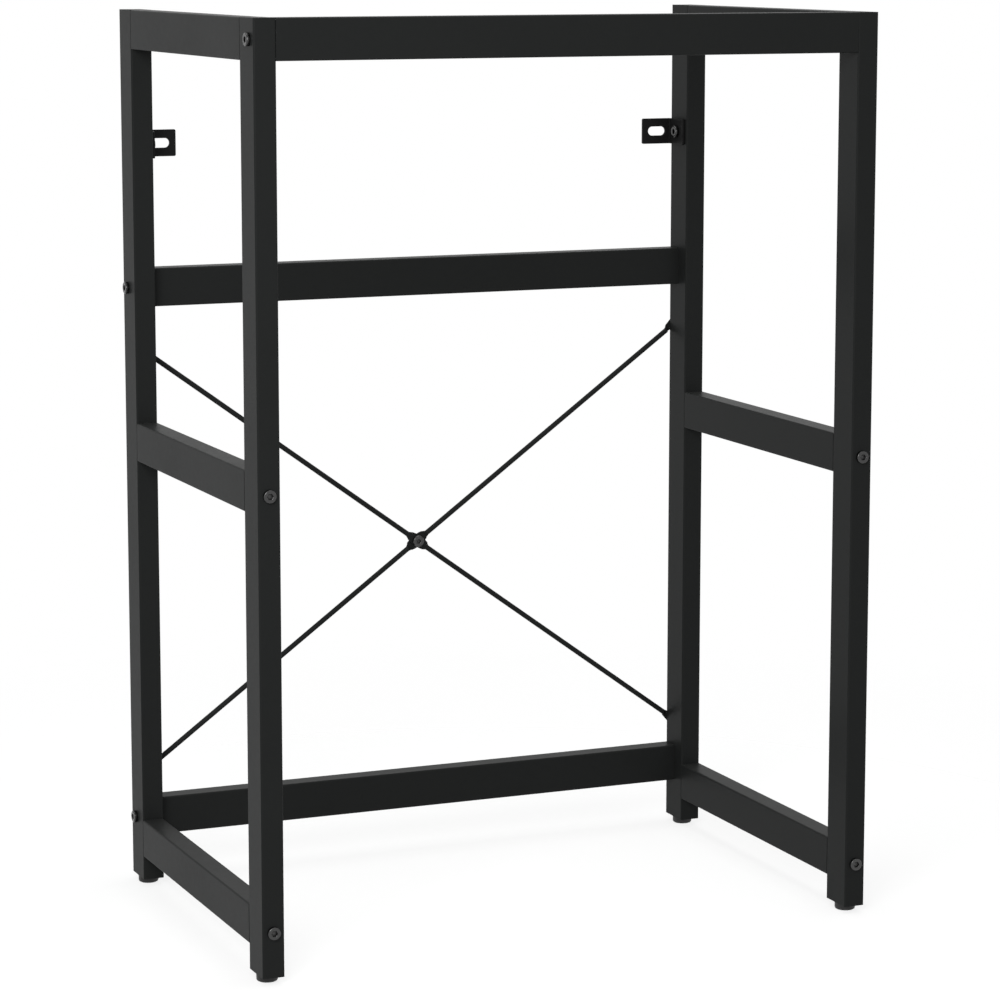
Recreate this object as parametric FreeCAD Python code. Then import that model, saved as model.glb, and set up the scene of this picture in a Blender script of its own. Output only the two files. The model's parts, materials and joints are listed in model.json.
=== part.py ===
import FreeCAD, Part
import math
import os

# A steel stand for a washbasin or counter: four upright tubes, three rails a side, one rail at the
# front, two at the rear, a crossed pair of tie rods, two slotted wall brackets and four levelling feet.
# Millimetres. +X is right, +Y is the wall side, +Z is up. The origin is on the floor, under the middle.

# Overall sizes
WIDTH = 590.0                  # over the outer faces of the legs
DEPTH = 380.0                  # over the front and rear faces of the legs
HEIGHT = 830.0                 # floor to the top of the legs and top rails

# Rectangular tube, the same for every leg and rail
TUBE_DEEP = 36.0
TUBE_THIN = 20.0
TUBE_WALL = 1.2
TUBE_OUTER_CORNER = 1.5
TUBE_INNER_CORNER = 0.5

# Rail heights, from the top of the stand down or from the floor up to the middle of each rail
SIDE_MIDDLE_DROP = 401.5
SIDE_BOTTOM_HEIGHT = 47.0
REAR_UPPER_DROP = 258.2
REAR_BOTTOM_HEIGHT = 63.5

# Frame bolts, their nuts and the plates that close the bolted rail ends
BOLT_RADIUS = 3.0
BOLT_HEAD_RADIUS = 5.75
BOLT_HEAD_HEIGHT = 3.3
BOLT_HEAD_CHAMFER = 0.7
BOLT_SOCKET_ACROSS = 5.0
BOLT_SOCKET_DEPTH = 2.4
BOLT_HOLE_CLEARANCE = 0.25     # radial, in plain holes
BOLT_PROUD = 2.5               # thread past its nut
END_PLATE_THICKNESS = 2.5
FRAME_NUT_ACROSS = 10.0
FRAME_NUT_HEIGHT = 5.0
THREAD_CLEARANCE = 0.05        # radial, between a thread and its nut
INSERT_CLEARANCE = 0.1         # all round, between a tube's bore and what is pushed into it

# Leg ends and levelling feet
CAP_THICKNESS = 2.0
PLUG_HEIGHT = 16.0
FOOT_PAD_RADIUS = 9.5
FOOT_PAD_HEIGHT = 6.8
FOOT_PAD_BOTTOM_RADIUS = 2.0
FOOT_PAD_TOP_CHAMFER = 0.4
FOOT_STEM_RADIUS = 4.0
FOOT_STEM_IN_PAD = 4.0
FOOT_STEM_REACH = 27.0         # above the pad
FOOT_STEM_CLEARANCE = 0.05     # radial, in the foot nut
FOOT_BORE_CLEARANCE = 0.3      # radial, in the plug
FOOT_NUT_ACROSS = 13.0
FOOT_NUT_HEIGHT = 6.5

# Wall brackets and their rivet nuts
BRACKET_DROP = 124.5           # below the top of the stand, to the slot's centre line
BRACKET_HEIGHT = 25.0
BRACKET_LEG = 32.0             # length of each side of the angle
BRACKET_THICKNESS = 2.5
BRACKET_OUTER_BEND = 3.5
BRACKET_INNER_BEND = 1.0
BRACKET_CORNER = 1.5
BRACKET_SLOT_LENGTH = 19.0
BRACKET_SLOT_WIDTH = 9.0
BRACKET_SLOT_INSET = 17.0      # from the leg's inner face to the slot's centre
BRACKET_BOLT_LENGTH = 12.0
RIVET_HEAD_THICKNESS = 0.4
BRACKET_RIVET_RADIUS = 4.5
BRACKET_RIVET_HEAD_RADIUS = 5.6
BRACKET_RIVET_LENGTH = 13.0

# Crossed tie rods
ROD_RADIUS = 2.5
ROD_INSET = 2.5                # from the legs' rear faces to the rods' middle plane
ROD_TOP_BELOW_RAIL = 55.3      # upper ends, below the middle of the rear upper rail
ROD_BOTTOM_ABOVE_RAIL = 39.0   # lower ends, above the middle of the rear bottom rail
ROD_TAB_THICKNESS = 1.4
ROD_TAB_RADIUS = 6.5
ROD_NECK_HALF_WIDTH = 3.0      # where the rod has been flattened, before it widens to the tab
ROD_NECK_CLEARANCE = 0.5       # from the leg's edge to the neck
ROD_JOGGLE_LENGTH = 3.5
ROD_FLAT_THICKNESS = 2.3
ROD_FLAT_HALF_WIDTH = 5.6      # of the oval that the flat follows
ROD_FLAT_HALF_LENGTH = 14.0
ROD_FLAT_END = 9.5             # from the rod's middle to where the flat starts to turn round again
ROD_FLAT_RUNOUT = 3.0
ROD_LAP_GAP = 0.1              # between the two flats where they cross
TIE_SCREW_RADIUS = 2.5
TIE_SCREW_LENGTH = 10.0
TIE_SCREW_HEAD_RADIUS = 4.75
TIE_SCREW_HEAD_HEIGHT = 1.5
TIE_SCREW_SOCKET_ACROSS = 3.0
TIE_SCREW_SOCKET_DEPTH = 0.9
TIE_HOLE_CLEARANCE = 0.2       # radial
TIE_RIVET_RADIUS = 3.5
TIE_RIVET_HEAD_RADIUS = 4.8
TIE_RIVET_LENGTH = 12.0
HUB_BOLT_HEAD_RADIUS = 5.75
HUB_BOLT_HEAD_HEIGHT = 2.8
HUB_BOLT_HEAD_CHAMFER = 0.9
HUB_BOLT_SOCKET_ACROSS = 4.0
HUB_BOLT_SOCKET_DEPTH = 1.8
HUB_BOLT_PROUD = 0.3
HUB_NUT_ACROSS = 8.0
HUB_NUT_HEIGHT = 2.7

# Places that several pieces share
X_AXIS = FreeCAD.Vector(1, 0, 0)
Y_AXIS = FreeCAD.Vector(0, 1, 0)
Z_AXIS = FreeCAD.Vector(0, 0, 1)
OUTER_X = WIDTH / 2
INNER_X = OUTER_X - TUBE_THIN
LEG_X = OUTER_X - TUBE_THIN / 2
OUTER_Y = DEPTH / 2
INNER_Y = OUTER_Y - TUBE_DEEP
LEG_Y = OUTER_Y - TUBE_DEEP / 2
LEG_BOTTOM = FOOT_PAD_HEIGHT
FRONT_RAIL_Y = -OUTER_Y + TUBE_THIN / 2
REAR_RAIL_Y = OUTER_Y - TUBE_THIN / 2
FRAME_NUT_CORNER = FRAME_NUT_ACROSS / math.sqrt(3)
# The cross rails' bolts stand as near to the middle of the legs' faces as the nuts in the rails allow
CROSS_BOLT_Y = OUTER_Y - TUBE_THIN + TUBE_WALL + 2 * INSERT_CLEARANCE + FRAME_NUT_CORNER
TOP_RAIL_HEIGHT = HEIGHT - TUBE_DEEP / 2
SIDE_MIDDLE_HEIGHT = HEIGHT - SIDE_MIDDLE_DROP
REAR_UPPER_HEIGHT = HEIGHT - REAR_UPPER_DROP
BRACKET_Z = HEIGHT - BRACKET_DROP
ROD_TOP_Z = REAR_UPPER_HEIGHT - ROD_TOP_BELOW_RAIL
ROD_BOTTOM_Z = REAR_BOTTOM_HEIGHT + ROD_BOTTOM_ABOVE_RAIL
ROD_MIDDLE_Z = (ROD_TOP_Z + ROD_BOTTOM_Z) / 2
ROD_PLANE_Y = OUTER_Y - ROD_INSET
ROD_ANGLE = math.atan2(ROD_TOP_Z - ROD_BOTTOM_Z, 2 * LEG_X)
PLUG_TOP = LEG_BOTTOM + PLUG_HEIGHT
FOOT_NUT_BOTTOM = PLUG_TOP - FOOT_NUT_HEIGHT
BOLT_HOLE_RADIUS = BOLT_RADIUS + BOLT_HOLE_CLEARANCE
TIE_HOLE_RADIUS = TIE_SCREW_RADIUS + TIE_HOLE_CLEARANCE
CUT_MARGIN = 1.0               # how far a cutting solid runs past the face it opens

SIDES = {"left": -1, "right": 1}
ENDS = {"front": -1, "rear": 1}
SIDE_RAIL_HEIGHTS = {
    "top": TOP_RAIL_HEIGHT,
    "middle": SIDE_MIDDLE_HEIGHT,
    "bottom": SIDE_BOTTOM_HEIGHT,
}
BOLTED_SIDE_HEIGHTS = (SIDE_MIDDLE_HEIGHT, SIDE_BOTTOM_HEIGHT)
# Middle of each cross rail: its place along Y and its height
CROSS_RAILS = {
    "front_top_rail": (FRONT_RAIL_Y, TOP_RAIL_HEIGHT),
    "rear_upper_rail": (REAR_RAIL_Y, REAR_UPPER_HEIGHT),
    "rear_bottom_rail": (REAR_RAIL_Y, REAR_BOTTOM_HEIGHT),
}


def point(x, y, z):
    return FreeCAD.Vector(x, y, z)


def rounded_block(low, high, radius, axis):
    """A box between two corners, with its four edges along the axis rounded."""
    size = high - low
    block = Part.makeBox(size.x, size.y, size.z, low)
    edges = [e for e in block.Edges if e.tangentAt(e.FirstParameter).cross(axis).Length < 0.001]
    return block.makeFillet(radius, edges)


def tube(low, high, axis):
    """A length of the frame's tube, open at both ends."""
    inset = (point(1, 1, 1) - axis) * TUBE_WALL - axis * CUT_MARGIN
    bore = rounded_block(low + inset, high - inset, TUBE_INNER_CORNER, axis)
    return rounded_block(low, high, TUBE_OUTER_CORNER, axis).cut(bore)


def tube_insert(low, high, axis):
    """A block that fills a tube's bore; the corners given are those of the tube around it."""
    inset = (point(1, 1, 1) - axis) * (TUBE_WALL + INSERT_CLEARANCE)
    return rounded_block(low + inset, high - inset, TUBE_INNER_CORNER, axis)


def cylinder(start, axis, radius, length):
    return Part.makeCylinder(radius, length, start, axis)


def hexagon(across, length):
    """A hexagonal bar that stands on the local origin, along +Z, with two flats facing X."""
    corner = across / math.sqrt(3)
    turns = [math.radians(60 * i + 30) for i in range(7)]
    outline = Part.makePolygon([point(corner * math.cos(a), corner * math.sin(a), 0) for a in turns])
    return Part.Face(outline).extrude(Z_AXIS * length)


def placed(shape, start, axis):
    """Stands a shape that was built along +Z on a point, along an axis."""
    shape.Placement = FreeCAD.Placement(start, FreeCAD.Rotation(Z_AXIS, axis))
    return shape


def socket_screw(seat, outward, radius, length, head_radius, head_height, chamfer, across, depth):
    """A screw whose head sits on a face at seat and stands out of it."""
    head = cylinder(point(0, 0, 0), Z_AXIS, head_radius, head_height)
    rim = [e for e in head.Edges if e.BoundBox.ZMin > head_height - 0.001]
    head = head.makeChamfer(chamfer, rim)
    shank = cylinder(point(0, 0, -length), Z_AXIS, radius, length)
    socket = hexagon(across, depth + CUT_MARGIN)
    socket.translate(point(0, 0, head_height - depth))
    return placed(head.fuse(shank).cut(socket).removeSplitter(), seat, outward)


def frame_bolt(seat, outward, length):
    return socket_screw(seat, outward, BOLT_RADIUS, length, BOLT_HEAD_RADIUS, BOLT_HEAD_HEIGHT,
                        BOLT_HEAD_CHAMFER, BOLT_SOCKET_ACROSS, BOLT_SOCKET_DEPTH)


def hex_nut(start, axis, across, height, bore_radius):
    bore = cylinder(point(0, 0, -CUT_MARGIN), Z_AXIS, bore_radius, height + 2 * CUT_MARGIN)
    return placed(hexagon(across, height).cut(bore), start, axis)


def rivet_nut(seat, outward, radius, head_radius, length, bore_radius):
    """A rivet nut set in a tube wall: thin head outside, bulge behind the wall, threaded barrel."""
    head = cylinder(point(0, 0, 0), Z_AXIS, head_radius, RIVET_HEAD_THICKNESS)
    barrel = cylinder(point(0, 0, -length), Z_AXIS, radius, length)
    bulge_length = 2 * TUBE_WALL
    bulge = cylinder(point(0, 0, -TUBE_WALL - bulge_length), Z_AXIS, head_radius, bulge_length)
    bore = cylinder(point(0, 0, -length - CUT_MARGIN), Z_AXIS, bore_radius, length + 3 * CUT_MARGIN)
    return placed(head.fuse([barrel, bulge]).cut(bore).removeSplitter(), seat, outward)


def save(name, shape):
    shape.exportStep("parts/" + name + ".step")


def save_group(name, shapes):
    save(name, Part.makeCompound(shapes))


def leg_corners(side, end):
    xs = sorted((side * INNER_X, side * OUTER_X))
    ys = sorted((end * INNER_Y, end * OUTER_Y))
    return point(xs[0], ys[0], LEG_BOTTOM), point(xs[1], ys[1], HEIGHT)


def leg(side, end):
    """One upright with the bolt holes for the rails, and for the brackets and rods at the rear."""
    low, high = leg_corners(side, end)
    holes = []
    for height in BOLTED_SIDE_HEIGHTS:
        start = point(side * LEG_X, low.y - CUT_MARGIN, height)
        holes.append(cylinder(start, Y_AXIS, BOLT_HOLE_RADIUS, TUBE_DEEP + 2 * CUT_MARGIN))
    for rail_y, height in CROSS_RAILS.values():
        if rail_y * end > 0:
            start = point(low.x - CUT_MARGIN, end * CROSS_BOLT_Y, height)
            holes.append(cylinder(start, X_AXIS, BOLT_HOLE_RADIUS, TUBE_THIN + 2 * CUT_MARGIN))
    if end > 0:
        through_wall = TUBE_WALL + 2 * CUT_MARGIN
        start = point(side * (INNER_X - CUT_MARGIN), LEG_Y, BRACKET_Z)
        rivet_hole = BRACKET_RIVET_RADIUS + INSERT_CLEARANCE
        holes.append(cylinder(start, X_AXIS * side, rivet_hole, through_wall))
        rivet_hole = TIE_RIVET_RADIUS + INSERT_CLEARANCE
        for height in (ROD_TOP_Z, ROD_BOTTOM_Z):
            start = point(side * LEG_X, OUTER_Y + CUT_MARGIN, height)
            holes.append(cylinder(start, -Y_AXIS, rivet_hole, through_wall))
    return tube(low, high, Z_AXIS).cut(holes)


def side_rail_corners(side, height):
    xs = sorted((side * INNER_X, side * OUTER_X))
    half = TUBE_DEEP / 2
    return point(xs[0], -INNER_Y, height - half), point(xs[1], INNER_Y, height + half)


def cross_rail_corners(rail_y, height):
    half_thin = TUBE_THIN / 2
    half_deep = TUBE_DEEP / 2
    low = point(-INNER_X, rail_y - half_thin, height - half_deep)
    return low, point(INNER_X, rail_y + half_thin, height + half_deep)


def end_plates(low, high, middle, axis):
    """The two plates that close a rail's ends, drilled along the line of its bolts through middle."""
    length = (high - low).dot(axis)
    hole = cylinder(middle - axis * length, axis, BOLT_HOLE_RADIUS, 2 * length)
    reach = axis * (length - END_PLATE_THICKNESS)
    near = tube_insert(low, high - reach, axis)
    far = tube_insert(low + reach, high, axis)
    return [near.cut(hole), far.cut(hole)]


def end_nuts(low, high, middle, axis):
    """The two nuts welded behind a rail's end plates, on the line of its bolts through middle."""
    half = (high - low).dot(axis) / 2 - END_PLATE_THICKNESS
    bore = BOLT_RADIUS + THREAD_CLEARANCE
    return [
        hex_nut(middle - axis * half, axis, FRAME_NUT_ACROSS, FRAME_NUT_HEIGHT, bore),
        hex_nut(middle + axis * half, -axis, FRAME_NUT_ACROSS, FRAME_NUT_HEIGHT, bore),
    ]


def bolt_length(leg_size):
    return leg_size + END_PLATE_THICKNESS + FRAME_NUT_HEIGHT + BOLT_PROUD


def make_legs():
    for side_name, side in SIDES.items():
        for end_name, end in ENDS.items():
            save(side_name + "_" + end_name + "_leg", leg(side, end))


def make_leg_ends():
    """Welded caps at the top of the legs, plugs and captive foot nuts at the bottom."""
    caps, plugs, nuts = [], [], []
    for side in SIDES.values():
        for end in ENDS.values():
            low, high = leg_corners(side, end)
            caps.append(tube_insert(point(low.x, low.y, HEIGHT - CAP_THICKNESS), high, Z_AXIS))
            centre = point(side * LEG_X, end * LEG_Y, FOOT_NUT_BOTTOM)
            plug = tube_insert(low, point(high.x, high.y, PLUG_TOP), Z_AXIS)
            pocket = placed(hexagon(FOOT_NUT_ACROSS + 2 * INSERT_CLEARANCE, PLUG_HEIGHT), centre, Z_AXIS)
            bore = cylinder(point(centre.x, centre.y, LEG_BOTTOM - CUT_MARGIN), Z_AXIS,
                            FOOT_STEM_RADIUS + FOOT_BORE_CLEARANCE, PLUG_HEIGHT)
            plugs.append(plug.cut([pocket, bore]))
            nuts.append(hex_nut(centre, Z_AXIS, FOOT_NUT_ACROSS, FOOT_NUT_HEIGHT,
                                FOOT_STEM_RADIUS + FOOT_STEM_CLEARANCE))
    save_group("leg_top_caps", caps)
    save_group("leg_foot_plugs", plugs)
    save_group("leg_foot_nuts", nuts)


def make_feet():
    """Four levelling feet: a moulded pad round the end of a threaded stem."""
    for side_name, side in SIDES.items():
        for end_name, end in ENDS.items():
            centre = point(side * LEG_X, end * LEG_Y, 0)
            pad = cylinder(centre, Z_AXIS, FOOT_PAD_RADIUS, FOOT_PAD_HEIGHT)
            rim = [e for e in pad.Edges if e.BoundBox.ZMax < 0.001]
            pad = pad.makeFillet(FOOT_PAD_BOTTOM_RADIUS, rim)
            rim = [e for e in pad.Edges if e.BoundBox.ZMin > FOOT_PAD_HEIGHT - 0.001]
            pad = pad.makeChamfer(FOOT_PAD_TOP_CHAMFER, rim)
            start = centre + Z_AXIS * (FOOT_PAD_HEIGHT - FOOT_STEM_IN_PAD)
            stem_length = FOOT_STEM_IN_PAD + FOOT_STEM_REACH
            stem = cylinder(start, Z_AXIS, FOOT_STEM_RADIUS, stem_length)
            socket = cylinder(start, Z_AXIS, FOOT_STEM_RADIUS + THREAD_CLEARANCE, stem_length)
            name = side_name + "_" + end_name + "_foot_"
            save(name + "pad", pad.cut(socket))
            save(name + "stem", stem)


def make_side_rails():
    plates, nuts = [], []
    for side_name, side in SIDES.items():
        for rail_name, height in SIDE_RAIL_HEIGHTS.items():
            low, high = side_rail_corners(side, height)
            save(side_name + "_" + rail_name + "_rail", tube(low, high, Y_AXIS))
            if height in BOLTED_SIDE_HEIGHTS:
                middle = point(side * LEG_X, 0, height)
                plates += end_plates(low, high, middle, Y_AXIS)
                nuts += end_nuts(low, high, middle, Y_AXIS)
    save_group("side_rail_end_plates", plates)
    save_group("side_rail_nuts", nuts)
    for end_name, end in ENDS.items():
        bolts = [
            frame_bolt(point(side * LEG_X, end * OUTER_Y, height), Y_AXIS * end, bolt_length(TUBE_DEEP))
            for side in SIDES.values()
            for height in BOLTED_SIDE_HEIGHTS
        ]
        save_group("side_rail_" + end_name + "_bolts", bolts)


def make_cross_rails():
    plates, nuts, bolt_middles = [], [], []
    for name, (rail_y, height) in CROSS_RAILS.items():
        low, high = cross_rail_corners(rail_y, height)
        save(name, tube(low, high, X_AXIS))
        middle = point(0, math.copysign(CROSS_BOLT_Y, rail_y), height)
        plates += end_plates(low, high, middle, X_AXIS)
        nuts += end_nuts(low, high, middle, X_AXIS)
        bolt_middles.append(middle)
    save_group("cross_rail_end_plates", plates)
    save_group("cross_rail_nuts", nuts)
    for side_name, side in SIDES.items():
        bolts = [
            frame_bolt(middle + X_AXIS * (side * OUTER_X), X_AXIS * side, bolt_length(TUBE_THIN))
            for middle in bolt_middles
        ]
        save_group("cross_rail_" + side_name + "_bolts", bolts)


def slot_cutter(centre, length, width, through):
    """A round-ended slot along X, cut along Y."""
    radius = width / 2
    run = length / 2 - radius
    start = centre - Y_AXIS * through / 2
    middle = Part.makeBox(2 * run, through, width, start - point(run, 0, radius))
    ends = [cylinder(start + X_AXIS * run * way, Y_AXIS, radius, through) for way in (-1, 1)]
    return middle.fuse(ends)


def right_bracket():
    """An angle of sheet: one side lies on the leg's inner face, the other on the wall plane."""
    seat_x = INNER_X - RIVET_HEAD_THICKNESS
    low_z = BRACKET_Z - BRACKET_HEIGHT / 2
    high_z = BRACKET_Z + BRACKET_HEIGHT / 2
    free_x = seat_x - BRACKET_LEG
    front_y = OUTER_Y - BRACKET_LEG
    outline = Part.makeBox(BRACKET_LEG, BRACKET_LEG, BRACKET_HEIGHT, point(free_x, front_y, low_z))
    inner_side = BRACKET_LEG + CUT_MARGIN
    inside = Part.makeBox(inner_side, inner_side, BRACKET_HEIGHT + 2 * CUT_MARGIN,
                          point(seat_x - BRACKET_THICKNESS - inner_side,
                                OUTER_Y - BRACKET_THICKNESS - inner_side, low_z - CUT_MARGIN))
    angle = outline.cut(inside)

    def edges_at(x=None, y=None, z=None):
        box = [(e, e.BoundBox) for e in angle.Edges]
        return [
            e for e, b in box
            if (x is None or max(abs(b.XMin - x), abs(b.XMax - x)) < 0.001)
            and (y is None or max(abs(b.YMin - y), abs(b.YMax - y)) < 0.001)
            and (z is None or max(abs(b.ZMin - z), abs(b.ZMax - z)) < 0.001)
        ]

    free_corners = edges_at(x=free_x, z=low_z) + edges_at(x=free_x, z=high_z)
    free_corners += edges_at(y=front_y, z=low_z) + edges_at(y=front_y, z=high_z)
    angle = angle.makeFillet(BRACKET_CORNER, free_corners)
    angle = angle.makeFillet(BRACKET_OUTER_BEND, edges_at(x=seat_x, y=OUTER_Y))
    inner_corner = edges_at(x=seat_x - BRACKET_THICKNESS, y=OUTER_Y - BRACKET_THICKNESS)
    angle = angle.makeFillet(BRACKET_INNER_BEND, inner_corner)
    slot = slot_cutter(point(INNER_X - BRACKET_SLOT_INSET, OUTER_Y, BRACKET_Z), BRACKET_SLOT_LENGTH,
                       BRACKET_SLOT_WIDTH, 4 * BRACKET_THICKNESS)
    hole = cylinder(point(seat_x - BRACKET_LEG / 2, LEG_Y, BRACKET_Z), X_AXIS, BOLT_HOLE_RADIUS,
                    BRACKET_LEG)
    return angle.cut([slot, hole])


def make_brackets():
    right = right_bracket()
    save("right_wall_bracket", right)
    save("left_wall_bracket", right.mirror(point(0, 0, 0), X_AXIS))
    bolts, rivets = [], []
    for side in SIDES.values():
        inward = X_AXIS * -side
        face = point(side * INNER_X, LEG_Y, BRACKET_Z)
        seat = face + inward * (RIVET_HEAD_THICKNESS + BRACKET_THICKNESS)
        bolts.append(frame_bolt(seat, inward, BRACKET_BOLT_LENGTH))
        rivets.append(rivet_nut(face, inward, BRACKET_RIVET_RADIUS, BRACKET_RIVET_HEAD_RADIUS,
                                BRACKET_RIVET_LENGTH, BOLT_RADIUS + THREAD_CLEARANCE))
    save_group("wall_bracket_bolts", bolts)
    save_group("wall_bracket_rivet_nuts", rivets)


def oval(along, offset, half_width, half_thickness):
    """A closed section across a rod that runs along local Z: wide along X, thin along Y."""
    centre = point(0, offset, along)
    if abs(half_width - half_thickness) < 0.001:
        return Part.Wire(Part.Circle(centre, Z_AXIS, half_width).toShape())
    wide = centre + X_AXIS * half_width
    thin = centre + Y_AXIS * half_thickness
    return Part.Wire(Part.Ellipse(wide, thin, centre).toShape())


def centre_flat(offset):
    """Half of the oval flat at a rod's middle, up to where it starts to turn round again."""
    near = offset - ROD_FLAT_THICKNESS / 2
    centre = point(0, near, 0)
    long_end = centre + Z_AXIS * ROD_FLAT_HALF_LENGTH
    short_end = centre + X_AXIS * ROD_FLAT_HALF_WIDTH
    outline = Part.Wire(Part.Ellipse(long_end, short_end, centre).toShape())
    plate = Part.Face(outline).extrude(Y_AXIS * ROD_FLAT_THICKNESS)
    kept = Part.makeBox(2 * ROD_FLAT_HALF_WIDTH, ROD_FLAT_THICKNESS, ROD_FLAT_END,
                        point(-ROD_FLAT_HALF_WIDTH, near, 0))
    return plate.common(kept)


def end_tab(face, start, end):
    """The flat end of a rod: it widens from the neck to a round eye. The face given lies on the leg."""
    sides = [(-ROD_NECK_HALF_WIDTH, start), (ROD_NECK_HALF_WIDTH, start),
             (ROD_TAB_RADIUS, end), (-ROD_TAB_RADIUS, end), (-ROD_NECK_HALF_WIDTH, start)]
    outline = Part.makePolygon([point(across, face, along) for across, along in sides])
    strap = Part.Face(outline).extrude(Y_AXIS * ROD_TAB_THICKNESS)
    return strap.fuse(cylinder(point(0, face, end), Y_AXIS, ROD_TAB_RADIUS, ROD_TAB_THICKNESS))


def half_rod(lap):
    """Half of a tie rod, from its middle to one end, along local Z. Local Y points to the wall."""
    flat_offset = lap * (ROD_FLAT_THICKNESS + ROD_LAP_GAP) / 2
    flat_end_share = ROD_FLAT_END / ROD_FLAT_HALF_LENGTH
    flat_end_half_width = ROD_FLAT_HALF_WIDTH * math.sqrt(1 - flat_end_share ** 2)
    round_start = ROD_FLAT_END + ROD_FLAT_RUNOUT
    end_distance = LEG_X / math.cos(ROD_ANGLE)
    neck_x = INNER_X - ROD_NECK_CLEARANCE - ROD_NECK_HALF_WIDTH * math.sin(ROD_ANGLE)
    neck = neck_x / math.cos(ROD_ANGLE)
    joggle_start = neck - ROD_JOGGLE_LENGTH
    tab_offset = ROD_INSET + RIVET_HEAD_THICKNESS + ROD_TAB_THICKNESS / 2
    runout = Part.makeLoft([
        oval(ROD_FLAT_END, flat_offset, flat_end_half_width, ROD_FLAT_THICKNESS / 2),
        oval(round_start, 0, ROD_RADIUS, ROD_RADIUS),
    ], True)
    shaft = cylinder(point(0, 0, round_start), Z_AXIS, ROD_RADIUS, joggle_start - round_start)
    joggle = Part.makeLoft([
        oval(joggle_start, 0, ROD_RADIUS, ROD_RADIUS),
        oval((joggle_start + neck) / 2, tab_offset / 2, (ROD_RADIUS + ROD_NECK_HALF_WIDTH) / 2,
             (ROD_RADIUS + ROD_TAB_THICKNESS / 2) / 2),
        oval(neck, tab_offset, ROD_NECK_HALF_WIDTH, ROD_TAB_THICKNESS / 2),
    ], True)
    tab = end_tab(tab_offset - ROD_TAB_THICKNESS / 2, neck, end_distance)
    hole = cylinder(point(0, 0, end_distance), Y_AXIS, TIE_HOLE_RADIUS, 2 * tab_offset)
    return centre_flat(flat_offset).fuse([runout, shaft, joggle, tab]).cut(hole)


def tie_rod(slope, lap):
    """A whole rod at its slope; lap is -1 for the rod in front where they cross, 1 for the other."""
    upper = half_rod(lap)
    lower = upper.mirror(point(0, 0, 0), Z_AXIS)
    hole = cylinder(point(0, -DEPTH, 0), Y_AXIS, TIE_HOLE_RADIUS, 2 * DEPTH)
    rod = upper.fuse(lower).cut(hole).removeSplitter()
    rod.rotate(point(0, 0, 0), Y_AXIS, slope * (90 - math.degrees(ROD_ANGLE)))
    rod.translate(point(0, ROD_PLANE_Y, ROD_MIDDLE_Z))
    return rod


def make_tie_rods():
    save("falling_tie_rod", tie_rod(-1, -1))
    save("rising_tie_rod", tie_rod(1, 1))
    lap_half = ROD_FLAT_THICKNESS + ROD_LAP_GAP / 2
    seat = point(0, ROD_PLANE_Y - lap_half, ROD_MIDDLE_Z)
    length = 2 * lap_half + HUB_NUT_HEIGHT + HUB_BOLT_PROUD
    save("tie_rod_centre_bolt", socket_screw(
        seat, -Y_AXIS, TIE_SCREW_RADIUS, length, HUB_BOLT_HEAD_RADIUS, HUB_BOLT_HEAD_HEIGHT,
        HUB_BOLT_HEAD_CHAMFER, HUB_BOLT_SOCKET_ACROSS, HUB_BOLT_SOCKET_DEPTH))
    save("tie_rod_centre_nut", hex_nut(
        seat + Y_AXIS * 2 * lap_half, Y_AXIS, HUB_NUT_ACROSS, HUB_NUT_HEIGHT,
        TIE_SCREW_RADIUS + THREAD_CLEARANCE))
    screws, rivets = [], []
    for side in SIDES.values():
        for height in (ROD_TOP_Z, ROD_BOTTOM_Z):
            face = point(side * LEG_X, OUTER_Y, height)
            seat = face + Y_AXIS * (RIVET_HEAD_THICKNESS + ROD_TAB_THICKNESS)
            screws.append(socket_screw(
                seat, Y_AXIS, TIE_SCREW_RADIUS, TIE_SCREW_LENGTH, TIE_SCREW_HEAD_RADIUS,
                TIE_SCREW_HEAD_HEIGHT, TIE_SCREW_HEAD_HEIGHT / 3, TIE_SCREW_SOCKET_ACROSS,
                TIE_SCREW_SOCKET_DEPTH))
            rivets.append(rivet_nut(face, Y_AXIS, TIE_RIVET_RADIUS, TIE_RIVET_HEAD_RADIUS,
                                    TIE_RIVET_LENGTH, TIE_SCREW_RADIUS + THREAD_CLEARANCE))
    save_group("tie_rod_end_screws", screws)
    save_group("tie_rod_rivet_nuts", rivets)


os.makedirs("parts", exist_ok=True)
make_legs()
make_leg_ends()
make_feet()
make_side_rails()
make_cross_rails()
make_brackets()
make_tie_rods()
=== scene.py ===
import json
import math

import bmesh
import bpy
from bpy.props import FloatProperty, FloatVectorProperty, IntProperty, PointerProperty
from mathutils import Matrix, Vector


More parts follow.
